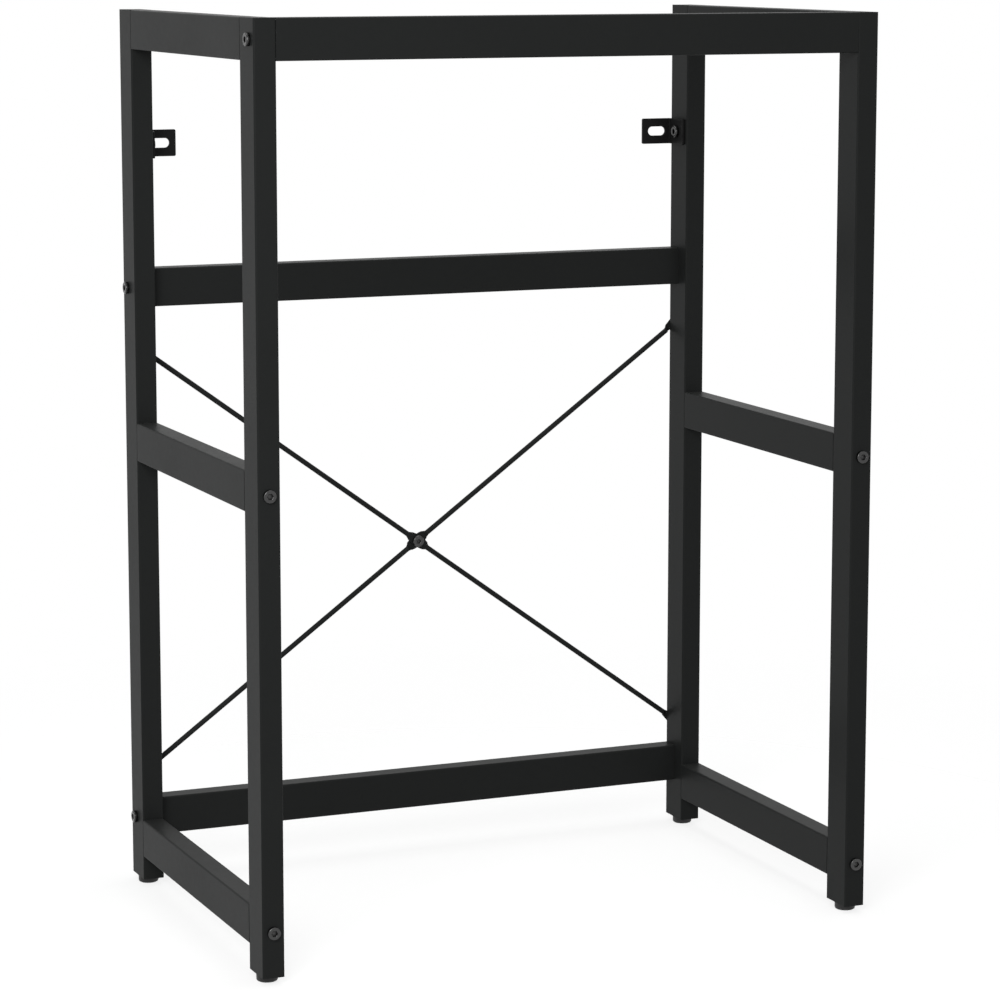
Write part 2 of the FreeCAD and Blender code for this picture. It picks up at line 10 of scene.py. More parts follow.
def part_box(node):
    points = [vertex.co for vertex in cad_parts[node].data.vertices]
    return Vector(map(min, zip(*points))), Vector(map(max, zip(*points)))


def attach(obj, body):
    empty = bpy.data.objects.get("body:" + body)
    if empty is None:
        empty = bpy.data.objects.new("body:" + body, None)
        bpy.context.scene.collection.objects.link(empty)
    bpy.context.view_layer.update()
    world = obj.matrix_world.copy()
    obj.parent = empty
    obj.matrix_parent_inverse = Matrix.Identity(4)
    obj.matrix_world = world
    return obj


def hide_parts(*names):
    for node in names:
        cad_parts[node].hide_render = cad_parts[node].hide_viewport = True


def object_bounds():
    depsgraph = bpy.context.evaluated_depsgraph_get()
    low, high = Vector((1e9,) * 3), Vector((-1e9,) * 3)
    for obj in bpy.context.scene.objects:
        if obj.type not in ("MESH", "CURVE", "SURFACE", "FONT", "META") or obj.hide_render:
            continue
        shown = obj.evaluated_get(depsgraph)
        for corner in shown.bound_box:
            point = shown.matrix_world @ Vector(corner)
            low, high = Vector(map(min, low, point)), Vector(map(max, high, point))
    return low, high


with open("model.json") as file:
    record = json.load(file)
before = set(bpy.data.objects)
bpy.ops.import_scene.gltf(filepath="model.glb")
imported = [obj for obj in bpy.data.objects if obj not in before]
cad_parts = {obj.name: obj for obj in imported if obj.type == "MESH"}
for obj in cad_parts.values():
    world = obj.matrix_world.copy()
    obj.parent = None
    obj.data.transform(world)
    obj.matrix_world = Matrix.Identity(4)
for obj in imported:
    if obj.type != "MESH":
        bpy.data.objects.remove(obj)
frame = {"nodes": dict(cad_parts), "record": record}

bl_info = {
    "name": "Steel Tube Bathroom Stand",
    "version": (1, 0, 0),
    "blender": (4, 5, 0),
    "location": "3D View > Sidebar > Stand",
    "description": "Finishes an open black steel-tube bathroom stand and its studio stage",
    "category": "Object",
}

CAD_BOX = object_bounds()
SIDES = {"left": -1, "right": 1}
ENDS = {"front": -1, "rear": 1}
CROSS_RAILS = ("front_top_rail", "rear_upper_rail", "rear_bottom_rail")
FRAME_BODY = "frame"
FEET = [side + "_" + end + "_foot" for side in SIDES for end in ENDS]
THINLY_COATED = {"left_wall_bracket", "right_wall_bracket"}
X_AXIS = Vector((1, 0, 0))
Y_AXIS = Vector((0, 1, 0))
Z_AXIS = Vector((0, 0, 1))
WELD_DISTANCE = 1e-7
SHARP_ANGLE = math.radians(32)
ROUND_SEGMENTS = 48
PAD_SEGMENTS = 96
THREAD_SEGMENTS = 24
FLOOR_SEGMENTS = 96

# Noise scales: features per metre.
CLOUD_SCALE = 9.0
SPECK_SCALE = 160.0
RUBBED_SCALE = 220.0
DRIFT_SCALE = 60.0
FLOOR_CLOUD_SCALE = 1.5

WHITE = (1, 1, 1, 1)
DUST_COLOR = (0.32, 0.31, 0.29, 1)
# Painted shade: a near-black colour mixed in where ambient occlusion finds nearby surfaces.
PAINTED_SHADE_COLOR = (0.003, 0.003, 0.003, 1)
PAINTED_SHADE_REACH = 0.0022

KEY_LAMP_OFFSET = Vector((-1.3, -1.7, 0.9))
KEY_LAMP_SIZE = 1.2
TOP_LAMP_OFFSET = Vector((0.3, 0.2, 2.4))
TOP_LAMP_SIZE = 2.0


# ---------------------------------------------------------------------------------------------
# Settings


def distance(name, description, default):
    return FloatProperty(name=name, description=description, default=default, min=0, precision=5,
                         subtype="DISTANCE", unit="LENGTH")


def share(name, description, default):
    return FloatProperty(name=name, description=description, default=default, min=0, max=1,
                         subtype="FACTOR")


def color(name, description, default):
    return FloatVectorProperty(name=name, description=description, default=default, size=3,
                               min=0, max=1, subtype="COLOR")


def angle(name, description, degrees):
    return FloatProperty(name=name, description=description, default=math.radians(degrees),
                         subtype="ANGLE", unit="ROTATION")


def power(name, description, default):
    return FloatProperty(name=name, description=description, default=default, min=0,
                         subtype="POWER", unit="POWER")


class StandFinishSettings(bpy.types.PropertyGroup):
    """Colours and surface sizes of the finishes."""

    coat_color: color("Powder Coat", "Colour of the coat on the tubes and tie rods",
                      (0.0175, 0.0185, 0.0182))
    # Painted shade: the brackets' coat is darker than the tubes' coat to stand in for shade near
    # the legs.
    thin_color: color("Thin Coat", "Colour of the smoother coat on the wall brackets",
                      (0.0110, 0.0110, 0.0112))
    coat_roughness: share("Coat Roughness", "How matt the powder coat is", 0.40)
    coat_grain: distance("Coat Grain", "Size of the powder coat's orange peel", 0.0009)
    bolt_color: color("Bolts", "Colour of the blackened bolts", (0.064, 0.064, 0.064))
    zinc_color: color("Zinc", "Colour of the plated stems and nuts", (0.52, 0.54, 0.56))
    plastic_color: color("Plastic", "Colour of the foot pads and leg plugs", (0.010, 0.010, 0.010))
    edge_radius: distance("Edge Softness", "How far the coat rounds over a cut edge", 0.0004)


class StandFrameBoltSettings(bpy.types.PropertyGroup):
    """Sizes of the bolts that hold the rails and brackets."""

    shank_radius: distance("Shank Radius", "Radius of the threaded shank", 0.003)
    head_radius: distance("Head Radius", "Radius of the round head", 0.00575)
    head_height: distance("Head Height", "Height of the head above its seat", 0.0033)
    head_round: distance("Head Rounding", "Radius round the head's outer edge", 0.0009)
    socket_across: distance("Socket", "Width of the hexagonal socket across its flats", 0.005)
    socket_depth: distance("Socket Depth", "Depth of the socket's flats", 0.0025)
    sheet_thickness: distance("Bracket Sheet", "Thickness of the sheet under a head", 0.0025)


class StandHubBoltSettings(bpy.types.PropertyGroup):
    """Sizes of the bolt and nut where the tie rods cross."""

    shank_radius: distance("Shank Radius", "Radius of the threaded shank", 0.0025)
    head_radius: distance("Head Radius", "Radius of the round head", 0.00575)
    head_height: distance("Head Height", "Height of the head above its seat", 0.0028)
    head_round: distance("Head Rounding", "Radius round the head's outer edge", 0.0012)
    socket_across: distance("Socket", "Width of the hexagonal socket across its flats", 0.004)
    socket_depth: distance("Socket Depth", "Depth of the socket's flats", 0.0016)
    nut_across: distance("Nut", "Width of the nut across its flats", 0.008)
    nut_clearance: distance("Nut Clearance", "Gap between the nut's bore and the shank", 0.00005)


class StandEndScrewSettings(bpy.types.PropertyGroup):
    """Sizes of the low-headed screws at the tie rods' ends."""

    shank_radius: distance("Shank Radius", "Radius of the threaded shank", 0.0025)
    head_radius: distance("Head Radius", "Radius of the round head", 0.00475)
    head_height: distance("Head Height", "Height of the head above its seat", 0.0015)
    head_round: distance("Head Rounding", "Radius round the head's outer edge", 0.0005)
    socket_across: distance("Socket", "Width of the hexagonal socket across its flats", 0.003)
    socket_depth: distance("Socket Depth", "Depth of the socket's flats", 0.0009)


class StandFootSettings(bpy.types.PropertyGroup):
    """Sizes of the levelling feet's moulded edges and rolled threads."""

    pad_bottom_round: distance("Pad Bottom Rounding", "Radius round the pad's lower edge", 0.002)
    pad_top_round: distance("Pad Top Rounding", "Radius round the pad's upper edge", 0.0004)
    pad_gap: distance("Pad Gap", "Gap between the pad's socket and the stem", 0.00005)
    thread_pitch: distance("Thread Pitch", "Travel of the stem in one turn", 0.00125)
    thread_depth: distance("Thread Depth", "Depth of the stem's thread", 0.0007)


class StandStageSettings(bpy.types.PropertyGroup):
    """The floor, the lights and the camera."""

    floor_color: color("Floor", "Colour of the floor as it lights the stand", (0.58, 0.58, 0.58))
    seen_color: color("Seen Floor", "Colour of the floor to the camera and in reflections",
                      (0.96, 0.96, 0.96))
    floor_clouds: share("Floor Clouds", "How much paler the floor's clouds are", 0.04)
    floor_size: distance("Floor Size", "Radius of the floor", 12.0)
    floor_veil: share("Floor Veil", "How much of the floor's own shading is seen near the stand",
                      0.3)
    floor_level: share("Floor Level", "Brightness of lit floor, which is seen as white", 0.7)
    shadow_reach: distance("Shadow Reach", "From the stand's middle to where the floor fades to "
                           "plain white, which it reaches at twice this distance", 0.6)
    room_light: FloatProperty(name="Room Light", description="Even light from all round",
                              min=0, default=0.37)
    key_light: power("Key Light", "Power of the large lamp at the left", 30)
    top_light: power("Top Light", "Power of the large lamp above", 25)
    camera_azimuth: angle("Camera Azimuth", "Turn of the camera round the stand", -23.007)
    camera_elevation: angle("Camera Elevation", "Height of the camera as an angle", 8.693)
    camera_distance: distance("Camera Distance", "From the stand's middle to the camera", 3.1738)
    lens: FloatProperty(name="Lens", description="Focal length of the camera", default=123.01,
                        subtype="DISTANCE_CAMERA", unit="CAMERA")
    shift_x: FloatProperty(name="Shift X", description="Sideways shift of the lens",
                           default=0.0083)
    shift_y: FloatProperty(name="Shift Y", description="Upward shift of the lens",
                           default=-0.0389)


SETTINGS = {
    "stand_finish": StandFinishSettings,
    "stand_frame_bolt": StandFrameBoltSettings,
    "stand_hub_bolt": StandHubBoltSettings,
    "stand_end_screw": StandEndScrewSettings,
    "stand_foot": StandFootSettings,
    "stand_stage": StandStageSettings,
}


# ---------------------------------------------------------------------------------------------
# Shader node groups


def link_or_set(tree, socket, value):
    """Links a node's output to a socket, or sets the socket to a plain value."""
    if isinstance(value, bpy.types.NodeSocket):
        tree.links.new(value, socket)
    elif value is not None:
        socket.default_value = value


def new_group(name, inputs, outputs):
    """A shader node group: inputs map a socket's name to its default, outputs to its type."""
    group = bpy.data.node_groups.new(name, "ShaderNodeTree")
    for label, value in inputs.items():
        kind = "NodeSocketColor" if isinstance(value, tuple) else "NodeSocketFloat"
        group.interface.new_socket(label, in_out="INPUT", socket_type=kind).default_value = value
    for label, kind in outputs.items():
        group.interface.new_socket(label, in_out="OUTPUT", socket_type=kind)
    given = group.nodes.new("NodeGroupInput").outputs
    return group, given, group.nodes.new("NodeGroupOutput").inputs


def calculate(tree, operation, first, second=None, clamp=False):
    node = tree.nodes.new("ShaderNodeMath")
    node.operation = operation
    node.use_clamp = clamp
    link_or_set(tree, node.inputs[0], first)
    link_or_set(tree, node.inputs[1], second)
    return node.outputs[0]


def mix_colors(tree, factor, first, second):
    node = tree.nodes.new("ShaderNodeMix")
    node.data_type = "RGBA"
    for label, value in (("Factor", factor), ("A", first), ("B", second)):
        socket = next(s for s in node.inputs if s.name == label and s.enabled)
        link_or_set(tree, socket, value)
    return next(s for s in node.outputs if s.enabled)


def noise(tree, place, scale, detail, roughness=0.5):
    node = tree.nodes.new("ShaderNodeTexNoise")
    tree.links.new(place, node.inputs["Vector"])
    link_or_set(tree, node.inputs["Scale"], scale)
    node.inputs["Detail"].default_value = detail
    node.inputs["Roughness"].default_value = roughness
    return node.outputs[0]


def object_place(tree):
    return tree.nodes.new("ShaderNodeTexCoord").outputs["Object"]


def make_grain_group():
    """Fine orange peel over broad, faint unevenness, as on a sprayed or moulded skin."""
    group, given, out = new_group(
        "Surface Grain",
        {"Color": (0.5, 0.5, 0.5, 1), "Roughness": 0.5, "Grain Size": 0.001,
         "Color Variation": 0.1, "Roughness Variation": 0.05},
        {"Color": "NodeSocketColor", "Roughness": "NodeSocketFloat", "Height": "NodeSocketFloat"})
    place = object_place(group)
    cloud = noise(group, place, CLOUD_SCALE, 4.0)
    speck = noise(group, place, SPECK_SCALE, 3.0, 0.7)
    swing = calculate(group, "SUBTRACT", calculate(group, "ADD", cloud, speck), 1.0)
    gain = calculate(group, "MULTIPLY", swing, given["Color Variation"])
    shade = group.nodes.new("ShaderNodeVectorMath")
    shade.operation = "SCALE"
    group.links.new(given["Color"], shade.inputs[0])
    group.links.new(calculate(group, "ADD", gain, 1.0), shade.inputs["Scale"])
    group.links.new(shade.outputs[0], out["Color"])
    rough = calculate(group, "MULTIPLY", swing, given["Roughness Variation"])
    rough = calculate(group, "ADD", rough, given["Roughness"], clamp=True)
    group.links.new(rough, out["Roughness"])
    fine_scale = calculate(group, "DIVIDE", 1.0, given["Grain Size"])
    group.links.new(noise(group, place, fine_scale, 2.0, 0.6), out["Height"])
    return group


def make_edge_group():
    """A mask of paler edges, partly rubbed wear and partly a painted highlight, and a normal that
    rounds them.
    """
    group, given, out = new_group(
        "Edge Wear And Highlight", {"Radius": 0.0005, "Amount": 0.5},
        {"Mask": "NodeSocketFloat", "Normal": "NodeSocketVector"})
    bevel = group.nodes.new("ShaderNodeBevel")
    bevel.samples = 6
    group.links.new(given["Radius"], bevel.inputs["Radius"])
    geometry = group.nodes.new("ShaderNodeNewGeometry")
    dot = group.nodes.new("ShaderNodeVectorMath")
    dot.operation = "DOT_PRODUCT"
    group.links.new(bevel.outputs[0], dot.inputs[0])
    group.links.new(geometry.outputs["Normal"], dot.inputs[1])
    turned = calculate(group, "SUBTRACT", 1.0, dot.outputs["Value"])
    turned = calculate(group, "MULTIPLY", turned, 4.0, clamp=True)
    patches = noise(group, object_place(group), RUBBED_SCALE, 4.0, 0.65)
    mask = calculate(group, "MULTIPLY", turned, patches)
    mask = calculate(group, "MULTIPLY", mask, given["Amount"], clamp=True)
    group.links.new(mask, out["Mask"])
    group.links.new(bevel.outputs[0], out["Normal"])
    return group


def make_dust_group():
    """A mask of fine dust that settles on faces that look up."""
    group, given, out = new_group("Settled Dust", {"Amount": 0.1}, {"Mask": "NodeSocketFloat"})
    split = group.nodes.new("ShaderNodeSeparateXYZ")
    group.links.new(group.nodes.new("ShaderNodeNewGeometry").outputs["Normal"], split.inputs[0])
    upward = calculate(group, "MAXIMUM", split.outputs["Z"], 0.0)
    upward = calculate(group, "POWER", upward, 3.0)
    drift = noise(group, object_place(group), DRIFT_SCALE, 6.0, 0.7)
    mask = calculate(group, "MULTIPLY", upward, drift)
    mask = calculate(group, "MULTIPLY", mask, given["Amount"], clamp=True)
    group.links.new(mask, out["Mask"])
    return group


def make_crevice_group():
    """A mask of painted shade: it darkens the colour in narrow places and near other surfaces,
    where shade falls.
    """
    group, given, out = new_group("Painted Crevice Shade", {"Distance": PAINTED_SHADE_REACH, "Amount": 1.0},
                                  {"Mask": "NodeSocketFloat"})
    opening = group.nodes.new("ShaderNodeAmbientOcclusion")
    opening.samples = 8
    group.links.new(given["Distance"], opening.inputs["Distance"])
    occlusion = calculate(group, "SUBTRACT", 1.0, opening.outputs["AO"])
    mask = calculate(group, "MULTIPLY", occlusion, given["Amount"], clamp=True)
    group.links.new(mask, out["Mask"])
    return group


GROUP_MAKERS = {
    "Surface Grain": make_grain_group,
    "Edge Wear And Highlight": make_edge_group,
    "Settled Dust": make_dust_group,
    "Painted Crevice Shade": make_crevice_group,
}


def shared_group(tree, name, values):
    """Places a shared group in a material, making the group the first time."""
    node = tree.nodes.new("ShaderNodeGroup")
    node.node_tree = bpy.data.node_groups.get(name) or GROUP_MAKERS[name]()
    for label, value in values.items():
        node.inputs[label].default_value = value
    return node.outputs


# ---------------------------------------------------------------------------------------------
# Materials


def make_skin(name, base, roughness, grain, bump, worn_and_lit_edge, edge_wear_and_highlight, edge_radius, dust=0.0,
              metallic=0.0, specular=0.5, ior=1.5, color_swing=0.1, roughness_swing=0.08,
              painted_shade=0.0):
    """A finish on one Principled shader: grain, edges paler with wear and painted highlight, dust
    and painted shade.
    """
    material = bpy.data.materials.new(name)
    material.use_nodes = True
    tree = material.node_tree
    shader = tree.nodes["Principled BSDF"].inputs
    shader["Metallic"].default_value = metallic
    shader["Specular IOR Level"].default_value = specular
    shader["IOR"].default_value = ior
    skin = shared_group(tree, "Surface Grain", {
        "Color": (*base, 1), "Roughness": roughness, "Grain Size": grain,
        "Color Variation": color_swing, "Roughness Variation": roughness_swing})
    edges = shared_group(tree, "Edge Wear And Highlight", {"Radius": edge_radius, "Amount": edge_wear_and_highlight})
    # Painted highlight: edges are mixed towards a paler colour, in rubbed patches that also stand
    # for wear.
    surface_color = mix_colors(tree, edges["Mask"], skin["Color"], (*worn_and_lit_edge, 1))
    matt = skin["Roughness"]
    if dust:
        settled = shared_group(tree, "Settled Dust", {"Amount": dust})
        surface_color = mix_colors(tree, settled["Mask"], surface_color, DUST_COLOR)
        matt = calculate(tree, "ADD", matt, settled["Mask"], clamp=True)
    # Painted shade: darkens the colour in sockets, beside bolt heads and where the brackets meet
    # the legs.
    if painted_shade:
        painted_shade_out = shared_group(tree, "Painted Crevice Shade",
                              {"Distance": PAINTED_SHADE_REACH, "Amount": painted_shade})
        surface_color = mix_colors(tree, painted_shade_out["Mask"], surface_color, PAINTED_SHADE_COLOR)
    tree.links.new(surface_color, shader["Base Color"])
    tree.links.new(matt, shader["Roughness"])
    relief = tree.nodes.new("ShaderNodeBump")
    relief.inputs["Strength"].default_value = bump
    relief.inputs["Distance"].default_value = grain * 0.1
    tree.links.new(skin["Height"], relief.inputs["Height"])
    tree.links.new(edges["Normal"], relief.inputs["Normal"])
    tree.links.new(relief.outputs["Normal"], shader["Normal"])
    return material


def powder_coat(finish):
    return make_skin("powder_coat", finish.coat_color, finish.coat_roughness, finish.coat_grain,
                     bump=0.35, worn_and_lit_edge=finish.coat_color * 3, edge_wear_and_highlight=0.35,
                     edge_radius=finish.edge_radius, dust=0.022, specular=0.1, ior=1.28)


def shaded_thin_coat(finish):
    """The smoother coat on the small pressed parts, darker than the powder coat as painted shade.
    """
    return make_skin("shaded_thin_coat", finish.thin_color, finish.coat_roughness,
                     finish.coat_grain / 2, bump=0.2, worn_and_lit_edge=finish.thin_color * 4, edge_wear_and_highlight=0.3,
                     edge_radius=finish.edge_radius, dust=0.008, specular=0.05, painted_shade=1.2)


def blackened_steel(finish):
    return make_skin("blackened_steel", finish.bolt_color, 0.24, finish.coat_grain / 2,
                     bump=0.15, worn_and_lit_edge=(0.16, 0.155, 0.15), edge_wear_and_highlight=0.25,
                     edge_radius=finish.edge_radius / 2, dust=0.01, metallic=1.0,
                     color_swing=0.2, painted_shade=2.2)


def zinc_plate(finish):
    return make_skin("zinc_plate", finish.zinc_color, 0.34, finish.coat_grain * 2, bump=0.1,
                     worn_and_lit_edge=(0.7, 0.7, 0.7), edge_wear_and_highlight=0.2, edge_radius=finish.edge_radius / 2,
                     metallic=1.0, color_swing=0.25, roughness_swing=0.2)


def moulded_plastic(finish):
    return make_skin("moulded_plastic", finish.plastic_color, 0.5, finish.coat_grain / 2, bump=0.4,
                     worn_and_lit_edge=finish.plastic_color * 3, edge_wear_and_highlight=0.3, edge_radius=finish.edge_radius,
                     specular=0.4)


SLOT_FINISHES = {
    "powder_coated_steel": powder_coat,
    "black_bolt_steel": blackened_steel,
    "zinc_plated_steel": zinc_plate,
    "black_plastic": moulded_plastic,
}


def slot_of(node):
    """The material slot that the record gives a CAD node."""
    return next(s["material_slot"] for s in frame["record"]["subparts"] if s["node"] == node)


def finish_of(node):
    """The finish of a CAD node, made the first time it is asked for."""
    make = shaded_thin_coat if node in THINLY_COATED else SLOT_FINISHES[slot_of(node)]
    return bpy.data.materials.get(make.__name__) or make(bpy.context.scene.stand_finish)


# ---------------------------------------------------------------------------------------------
# Mesh building


def middle_of(node):
    low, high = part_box(node)
    return (low + high) / 2


def spin_profile(bm, profile, segments=ROUND_SEGMENTS):
    """Spins an outline of (radius, height) points round Z and welds its poles and seam."""
    before = set(bm.verts)
    points = [bm.verts.new((radius, 0, height)) for radius, height in profile]
    edges = [bm.edges.new(pair) for pair in zip(points, points[1:])]
    bmesh.ops.spin(bm, geom=points + edges, cent=(0, 0, 0), axis=Z_AXIS, dvec=(0, 0, 0),
                   angle=math.tau, steps=segments, use_merge=True, use_duplicate=False)
    made = [v for v in bm.verts if v not in before]
    bmesh.ops.remove_doubles(bm, verts=made, dist=WELD_DISTANCE)
    return [v for v in bm.verts if v not in before]


def quarter_round(radius, height, size, steps=4):
    """Profile points of a quarter round from a cylinder's side to its top."""
    turns = [math.radians(90 * i / steps) for i in range(steps + 1)]
    return [(radius - size + size * math.cos(a), height - size + size * math.sin(a)) for a in turns]


def hexagon_reach(turn, across):
    """Distance from the centre to a hexagon's outline in the direction of a turn."""
    from_flat = math.degrees(turn) % 60 - 30
    return across / 2 / math.cos(math.radians(from_flat))


def stand_on(bm, verts, seat, outward):
    """Moves vertices that were built along +Z so that they stand on a point, along an axis."""
    turn = Z_AXIS.rotation_difference(outward).to_matrix().to_4x4()
    bmesh.ops.transform(bm, verts=verts, matrix=Matrix.Translation(seat) @ turn)


def sink_socket(bm, edges, height, across, depth):
    """Carries a ring of edges down into a chamfered hexagonal socket with a drilled bottom."""
    chamfer = across * 0.06
    cone_depth = across * 0.12
    cone_scale = 0.4
    for drop, scale in ((chamfer, 1.0), (depth, 1.0), (depth + cone_depth, cone_scale)):
        made = bmesh.ops.extrude_edge_only(bm, edges=edges)["geom"]
        edges = [g for g in made if isinstance(g, bmesh.types.BMEdge)]
        for vert in (g for g in made if isinstance(g, bmesh.types.BMVert)):
            turn = math.atan2(vert.co.y, vert.co.x)
            reach = hexagon_reach(turn, across) * scale
            vert.co = (reach * math.cos(turn), reach * math.sin(turn), height - drop)
    bmesh.ops.edgeloop_fill(bm, edges=[e for e in edges if e.is_boundary])


def add_screw(bm, sizes, seat, outward, length):
    """One socket screw: its head stands on seat and points outward, its shank points back."""
    before = set(bm.verts)
    tip = sizes.shank_radius / 4
    rim = tip / 3
    top = sizes.head_height
    socket_corner = sizes.socket_across / math.sqrt(3)
    mouth = socket_corner * 1.06
    profile = [(0, -length), (sizes.shank_radius - tip, -length),
               (sizes.shank_radius, tip - length), (sizes.shank_radius, 0),
               (sizes.head_radius - rim, 0), (sizes.head_radius, rim)]
    profile += quarter_round(sizes.head_radius, top, sizes.head_round)
    profile.append((mouth, top))
    made = spin_profile(bm, profile)
    ring = {v for v in made if abs(v.co.xy.length - mouth) < WELD_DISTANCE}
    edges = [e for e in bm.edges if e.is_boundary and ring.issuperset(e.verts)]
    sink_socket(bm, edges, top, sizes.socket_across, sizes.socket_depth)
    stand_on(bm, [v for v in bm.verts if v not in before], seat, outward)


def add_nut(bm, seat, outward, across, height, bore_radius):
    """One hexagonal nut with its corners turned off; it stands on seat."""
    flat = across / 2
    corner = across / math.sqrt(3)
    turned_off = (corner - flat) * 0.6
    lead = bore_radius * 0.08
    profile = [(bore_radius, lead), (bore_radius + lead, 0), (flat, 0), (corner, turned_off),
               (corner, height - turned_off), (flat, height), (bore_radius + lead, height),
               (bore_radius, height - lead), (bore_radius, lead)]
    made = spin_profile(bm, profile)
    for vert in made:
        reach = hexagon_reach(math.atan2(vert.co.y, vert.co.x), across)
        if vert.co.xy.length > reach:
            vert.co.xy *= reach / vert.co.xy.length
    stand_on(bm, made, seat, outward)


def add_threaded_rod(bm, radius, length, pitch, depth):
    """A rod along +Z from the origin: a core with chamfered ends and a helical ridge round it."""
    core = radius - depth
    chamfer = depth / 2
    ridge_root = core * 0.97
    crest = pitch / 16
    profile = [(0, 0), (core - chamfer, 0), (core, chamfer), (core, length - chamfer),
               (core - chamfer, length), (0, length)]
    made = spin_profile(bm, profile)
    section = [(ridge_root, 0), (radius, pitch / 2 - crest), (radius, pitch / 2 + crest),
               (ridge_root, pitch)]
    corners = [bm.verts.new((reach, 0, height)) for reach, height in section]
    face = bm.faces.new(corners)
    turns = (length - pitch) / pitch
    steps = round(turns * THREAD_SEGMENTS)
    before = set(bm.verts)
    bmesh.ops.spin(bm, geom=[*corners, *face.edges, face], cent=(0, 0, 0), axis=Z_AXIS,
                   dvec=(0, 0, (length - pitch) / steps), angle=turns * math.tau, steps=steps,
                   use_merge=False, use_duplicate=False)
    return made + corners + [v for v in bm.verts if v not in before]


def finish_piece(name, bm, body, node):
    """Turns a bmesh into a piece that stands for a CAD node and takes its finish."""
    bmesh.ops.recalc_face_normals(bm, faces=bm.faces)
    mesh = bpy.data.meshes.new(name)
    bm.to_mesh(mesh)
    bm.free()
    mesh.shade_smooth()
    mesh.set_sharp_from_angle(angle=SHARP_ANGLE)
    mesh.materials.append(finish_of(node))
    piece = bpy.data.objects.new(name, mesh)
    bpy.context.scene.collection.objects.link(piece)
    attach(piece, body)
    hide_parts(node)


def build_screws(node, sizes, seats, outward):
    """Builds a CAD node's screws, all with the same direction; its box gives their length."""
    low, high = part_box(node)
    ends = [(corner - seats[0]).dot(outward) for corner in (low, high)]
    bm = bmesh.new()
    for seat in seats:
        add_screw(bm, sizes, seat, outward, -min(ends))
    finish_piece(node + "_detailed", bm, FRAME_BODY, node)


# ---------------------------------------------------------------------------------------------
# Operators


class STAND_OT_coat_frame(bpy.types.Operator):
    """Give every CAD piece its finish"""

    bl_idname = "stand.coat_frame"
    bl_label = "Coat Tubes, Rods and Brackets"

    def execute(self, context):
        for name, node in frame["nodes"].items():
            node.data.materials.clear()
            node.data.materials.append(finish_of(name))
        return {"FINISHED"}


class STAND_OT_build_side_rail_bolts(bpy.types.Operator):
    """Build the bolts that run through the legs into the side rails"""

    bl_idname = "stand.build_side_rail_bolts"
    bl_label = "Build Side Rail Bolts"

    def execute(self, context):
        sizes = context.scene.stand_frame_bolt
        for end_name, end in ENDS.items():
            seats = []
            for side_name in SIDES:
                leg = side_name + "_" + end_name + "_leg"
                face_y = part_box(leg)[0].y if end < 0 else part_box(leg)[1].y
                for rail in ("middle_rail", "bottom_rail"):
                    height = middle_of(side_name + "_" + rail).z
                    seats.append(Vector((middle_of(leg).x, face_y, height)))
            build_screws("side_rail_" + end_name + "_bolts", sizes, seats, Y_AXIS * end)
        return {"FINISHED"}


class STAND_OT_build_cross_rail_bolts(bpy.types.Operator):
    """Build the bolts that run through the legs into the front and rear rails"""

    bl_idname = "stand.build_cross_rail_bolts"
    bl_label = "Build Front and Rear Rail Bolts"

    def execute(self, context):
        sizes = context.scene.stand_frame_bolt
        for side_name, side in SIDES.items():
            low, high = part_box(side_name + "_front_leg")
            face_x = low.x if side < 0 else high.x
            node = "cross_rail_" + side_name + "_bolts"
            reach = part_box(node)[1].y - sizes.head_radius
            rails = [middle_of(rail) for rail in CROSS_RAILS]
            seats = [Vector((face_x, math.copysign(reach, rail.y), rail.z)) for rail in rails]
            build_screws(node, sizes, seats, X_AXIS * side)
        return {"FINISHED"}


class STAND_OT_build_bracket_bolts(bpy.types.Operator):
    """Build the two bolts that hold the wall brackets to the rear legs"""

    bl_idname = "stand.build_bracket_bolts"
    bl_label = "Build Bracket Bolts"

    def execute(self, context):
        node = "wall_bracket_bolts"
        sizes = context.scene.stand_frame_bolt
        low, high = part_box(node)
        centre = middle_of(node)
        bm = bmesh.new()
        for side_name, side in SIDES.items():
            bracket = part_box(side_name + "_wall_bracket")
            face_x = max(abs(bracket[0].x), abs(bracket[1].x)) - sizes.sheet_thickness
            seat = Vector((side * face_x, centre.y, centre.z))
            add_screw(bm, sizes, seat, X_AXIS * -side, high.x - face_x)
        finish_piece(node + "_detailed", bm, FRAME_BODY, node)
        return {"FINISHED"}


class STAND_OT_build_tie_rod_fasteners(bpy.types.Operator):
    """Build the bolt and nut where the tie rods cross and the screws at their ends"""

    bl_idname = "stand.build_tie_rod_fasteners"
    bl_label = "Build Tie Rod Fasteners"

    def execute(self, context):
        hub = context.scene.stand_hub_bolt
        low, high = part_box("tie_rod_centre_bolt")
        centre = middle_of("tie_rod_centre_bolt")
        seat = Vector((centre.x, low.y + hub.head_height, centre.z))
        build_screws("tie_rod_centre_bolt", hub, [seat], -Y_AXIS)

        low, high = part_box("tie_rod_centre_nut")
        bm = bmesh.new()
        add_nut(bm, Vector((centre.x, low.y, centre.z)), Y_AXIS, hub.nut_across, high.y - low.y,
                hub.shank_radius + hub.nut_clearance)
        finish_piece("tie_rod_centre_nut_detailed", bm, FRAME_BODY, "tie_rod_centre_nut")

        end = context.scene.stand_end_screw
        low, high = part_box("tie_rod_end_screws")
        reach = high.x - end.head_radius
        heights = (low.z + end.head_radius, high.z - end.head_radius)
        seats = [Vector((side * reach, high.y - end.head_height, height))
                 for side in SIDES.values() for height in heights]
        build_screws("tie_rod_end_screws", end, seats, Y_AXIS)
        return {"FINISHED"}


